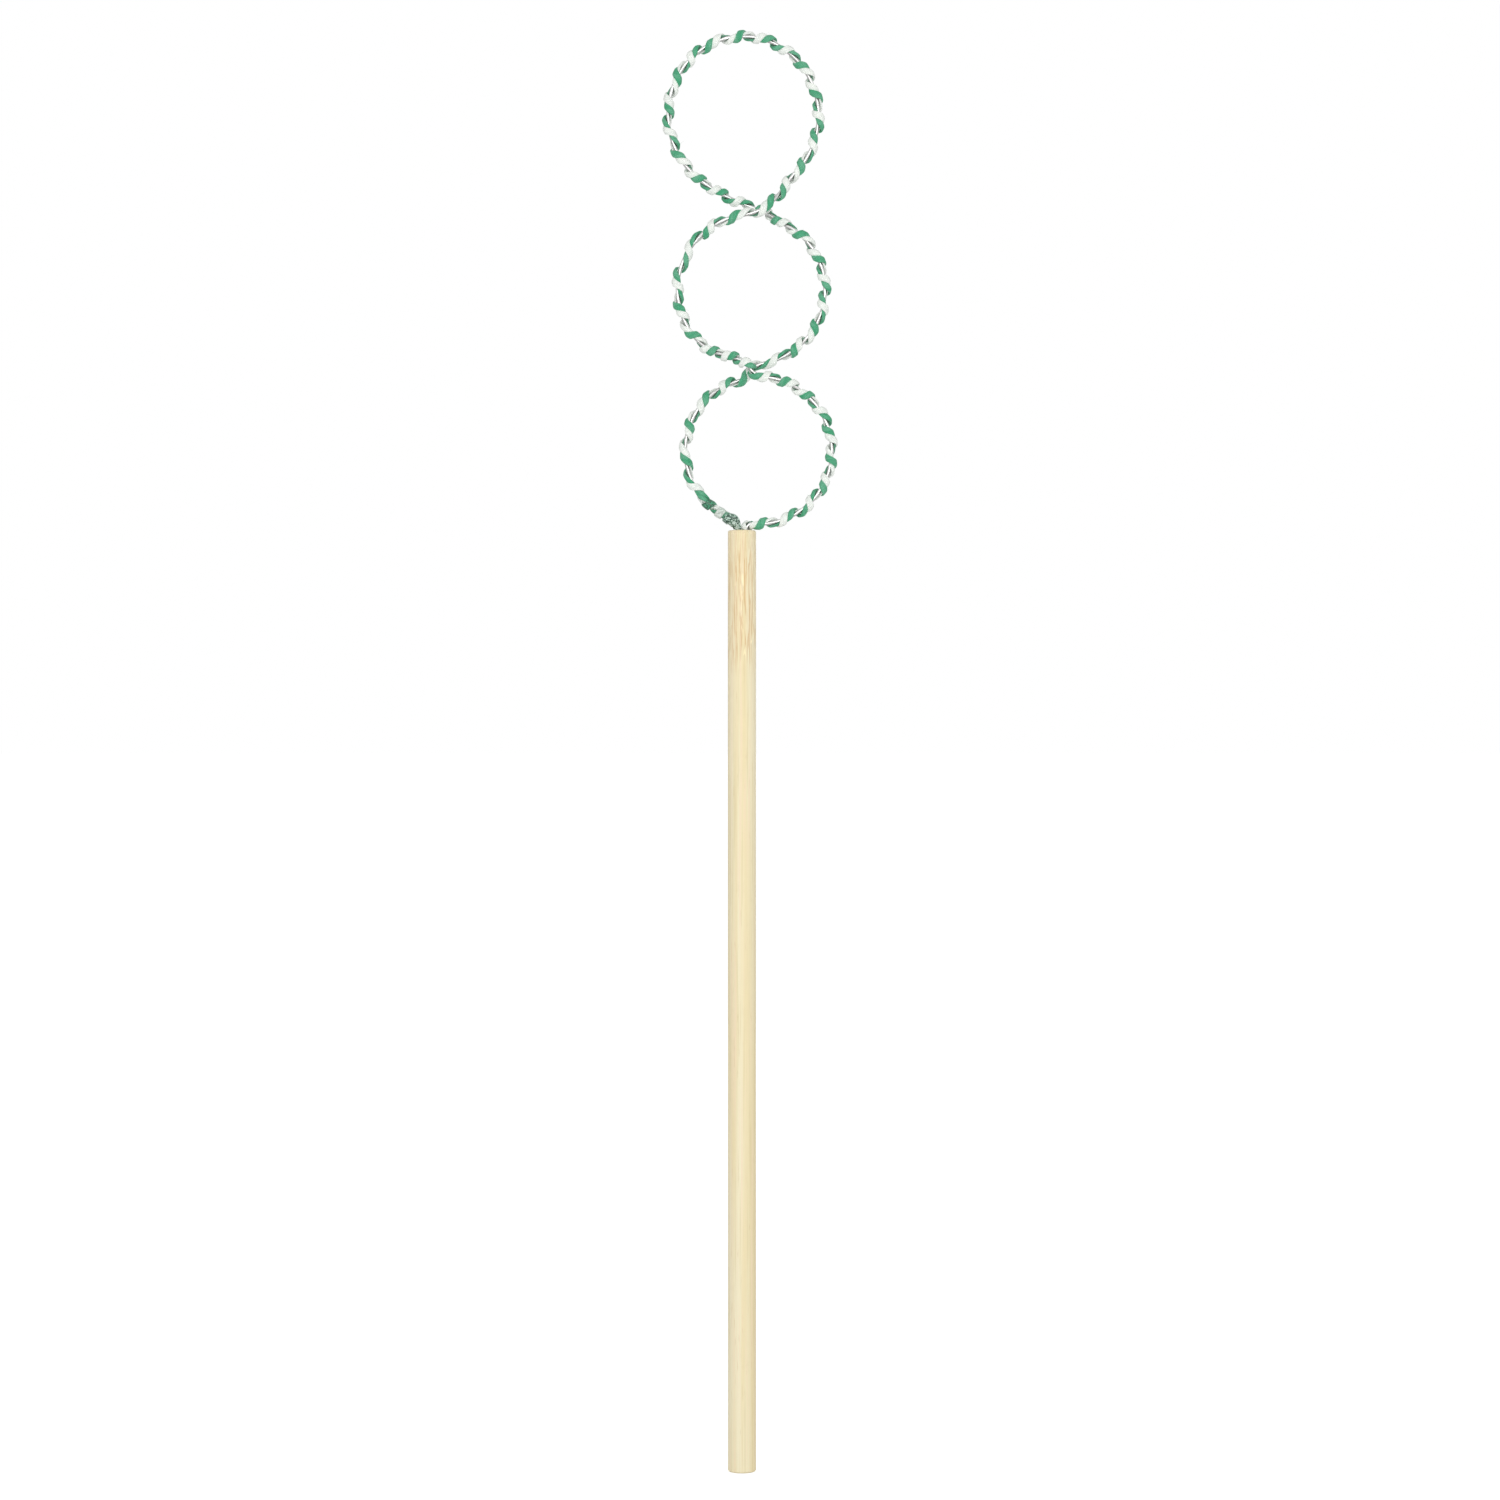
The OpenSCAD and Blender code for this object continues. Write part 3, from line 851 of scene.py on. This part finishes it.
# The joint's pale flecks are a painted highlight
PAINTED_GLINT_TINT = (0.6, 0.72, 0.8, srgb(252, 238, 196))
BAMBOO_ROUGHNESS = (0.3, 0.7, 0.5, 0.62)
BAMBOO_SPECULAR = 0.45
BAMBOO_BUMP = (0.12, 0.03 * MM)
# Heights over which the joint's grain comes in and goes out
JOINT_START = (0.168, 0.176)
JOINT_END = (0.203, 0.193)


def bamboo_material():
    """Bamboo: long pale streaks, fine grain with dashes, and brown lines and painted glint highlights at a
    joint.
    """
    m = Nodes("bamboo")
    height = m.along("Object", "Z")
    grain = m.pattern(*GRAIN)
    base = m.tinted(BAMBOO, m.pattern(*STREAKS), *STREAK_TINT)
    base = m.tinted(base, grain, *WARM_TINT)
    base = m.tinted(base, grain, *DULL_TINT)
    base = m.tinted(base, m.pattern(*DASHES), *DASH_TINT)
    joint = m.times(m.spread(height, *JOINT_START), m.spread(height, *JOINT_END))
    for pattern, tint in ((WAVES, WAVE_TINT), (JOINT_LINES, LINE_TINT), (PAINTED_GLINTS, PAINTED_GLINT_TINT)):
        base = m.tinted(base, m.pattern(*pattern), *tint, where=joint)
    m.set(m.shader, {
        "Base Color": base,
        "Roughness": m.spread(grain, *BAMBOO_ROUGHNESS),
        "Specular IOR Level": BAMBOO_SPECULAR,
    })
    m.bump(grain, *BAMBOO_BUMP)
    return m.material


# Glue: clear and cloudy in the hole; at its mouth darker, amber glue with painted shade of the gap under
# the twine
DARKER_PATCHES = (0.38, 0.62, 1.0)
GLUE_ROUGHNESS = (0.3, 0.7, 0.12, 0.3)
GLUE_BUMP = (0.2, 0.04 * MM)
CLEAN_GLUE = (srgb(190, 176, 130), srgb(150, 130, 84))
# The bead's colours: amber glue darkened as painted shade of the gap under the twine at the mouth
SHADED_GLUE = (srgb(150, 134, 96), srgb(86, 70, 46))


def glue_material(name, clear, dark):
    """Dried glue: glossy, cloudy, and darker in patches."""
    m = Nodes(name)
    clouds = m.pattern(*CLOUDS)
    m.set(m.shader, {
        "Base Color": m.tinted(clear, clouds, *DARKER_PATCHES, dark),
        "Roughness": m.spread(clouds, *GLUE_ROUGHNESS),
    })
    m.bump(clouds, *GLUE_BUMP)
    return m.material


# Stage, light and camera. PX_MM is the size of the photo's pixels, AXIS_PX the rod's middle in it, and
# BUTT_PX the rod's lower end
PX_MM = 0.2128
IMAGE_PX = 1500
AXIS_PX = 742
BUTT_PX = 1470.5
CAMERA_DISTANCE = 0.724
FLOOR_HALF = 120.0
FLOOR_DROP = 0.0001
FLOOR_COLOUR = (0.9, 0.9, 0.9, 1)
FLOOR_ROUGHNESS = 0.95
FLOOR_GLOW = 0.5
WORLD_LIGHT = 0.62
# The point that the lamps face, then each lamp's place, its width and height, and its power in watts
LIT_POINT = (0, 0, ROD_LEN * 0.75)
LAMPS = {
    "front": ((0.05, -1.0, 0.3), (0.4, 0.4), 3.1),
    "key": ((-0.45, -0.95, 0.6), (0.6, 0.8), 1.7),
    "fill": ((0.75, -0.75, 0.4), (0.6, 0.8), 0.9),
    "back": ((0.2, 1.0, 0.5), (0.8, 0.8), 3.4),
}


def make_camera():
    half_px = IMAGE_PX / 2
    camera = bpy.data.cameras.new("camera")
    camera.angle = 2 * math.atan(half_px * PX_MM * MM / CAMERA_DISTANCE)
    obj = bpy.data.objects.new("camera", camera)
    obj.location = ((half_px - AXIS_PX) * PX_MM * MM, -CAMERA_DISTANCE, (BUTT_PX - half_px) * PX_MM * MM)
    obj.rotation_euler = (math.radians(90), 0, 0)
    bpy.context.scene.collection.objects.link(obj)
    bpy.context.scene.camera = obj


def make_floor():
    """A pale floor that glows a little for the camera, so that it meets the white world unseen."""
    corners = [(-1, -1), (1, -1), (1, 1), (-1, 1)]
    mesh = bpy.data.meshes.new("floor")
    mesh.from_pydata([(x * FLOOR_HALF, y * FLOOR_HALF, 0) for x, y in corners], [], [(0, 1, 2, 3)])
    obj = bpy.data.objects.new("floor", mesh)
    obj.location.z = -FLOOR_DROP
    bpy.context.scene.collection.objects.link(obj)
    m = Nodes("floor")
    path = m.nodes.new("ShaderNodeLightPath")
    m.set(m.shader, {
        "Base Color": FLOOR_COLOUR,
        "Roughness": FLOOR_ROUGHNESS,
        "Specular IOR Level": 0.0,
        "Emission Color": (1, 1, 1, 1),
        "Emission Strength": m.times(path.outputs["Is Camera Ray"], FLOOR_GLOW),
    })
    assign(obj, m.material)


def make_world():
    """Even light from all sides, white where it is seen, mirrored or shone through."""
    world = bpy.data.worlds.new("studio")
    bpy.context.scene.world = world
    world.use_nodes = True
    nodes, links = world.node_tree.nodes, world.node_tree.links
    background = nodes["Background"]
    background.inputs["Color"].default_value = (1, 1, 1, 1)
    path = nodes.new("ShaderNodeLightPath")
    rays = [path.outputs[name + " Ray"] for name in ("Is Camera", "Is Glossy", "Is Transmission")]
    seen = rays[0]
    for ray in rays[1:]:
        either = nodes.new("ShaderNodeMath")
        either.operation = "MAXIMUM"
        links.new(seen, either.inputs[0])
        links.new(ray, either.inputs[1])
        seen = either.outputs[0]
    strength = nodes.new("ShaderNodeMapRange")
    strength.inputs["To Min"].default_value = WORLD_LIGHT
    strength.inputs["To Max"].default_value = 1.0
    links.new(seen, strength.inputs["Value"])
    links.new(strength.outputs["Result"], background.inputs["Strength"])


def make_lights():
    for name, (place, (width, height), power) in LAMPS.items():
        light = bpy.data.lights.new(name, "AREA")
        light.shape = "RECTANGLE"
        light.size, light.size_y = width, height
        light.energy = power
        obj = bpy.data.objects.new(name, light)
        obj.location = place
        away = Vector(LIT_POINT) - Vector(place)
        obj.rotation_euler = away.to_track_quat("-Z", "Y").to_euler()
        bpy.context.scene.collection.objects.link(obj)


def main():
    bpy.context.scene.view_settings.view_transform = "Standard"
    wire = make_wire()
    plies = make_twine()
    bead = make_glue_bead()
    assign(wire, wire_material())
    assign(plies["twine_green"], twine_material("cotton_green", **GREEN))
    assign(plies["twine_white"], twine_material("cotton_white", **WHITE))
    assign(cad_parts["rod"], bamboo_material())
    assign(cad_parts["glue_plug"], glue_material("glue", *CLEAN_GLUE))
    # The bead's darker glue is painted shade at the mouth of the hole
    assign(bead, glue_material("glue_shaded", *SHADED_GLUE))
    make_floor()
    make_world()
    make_lights()
    make_camera()


main()
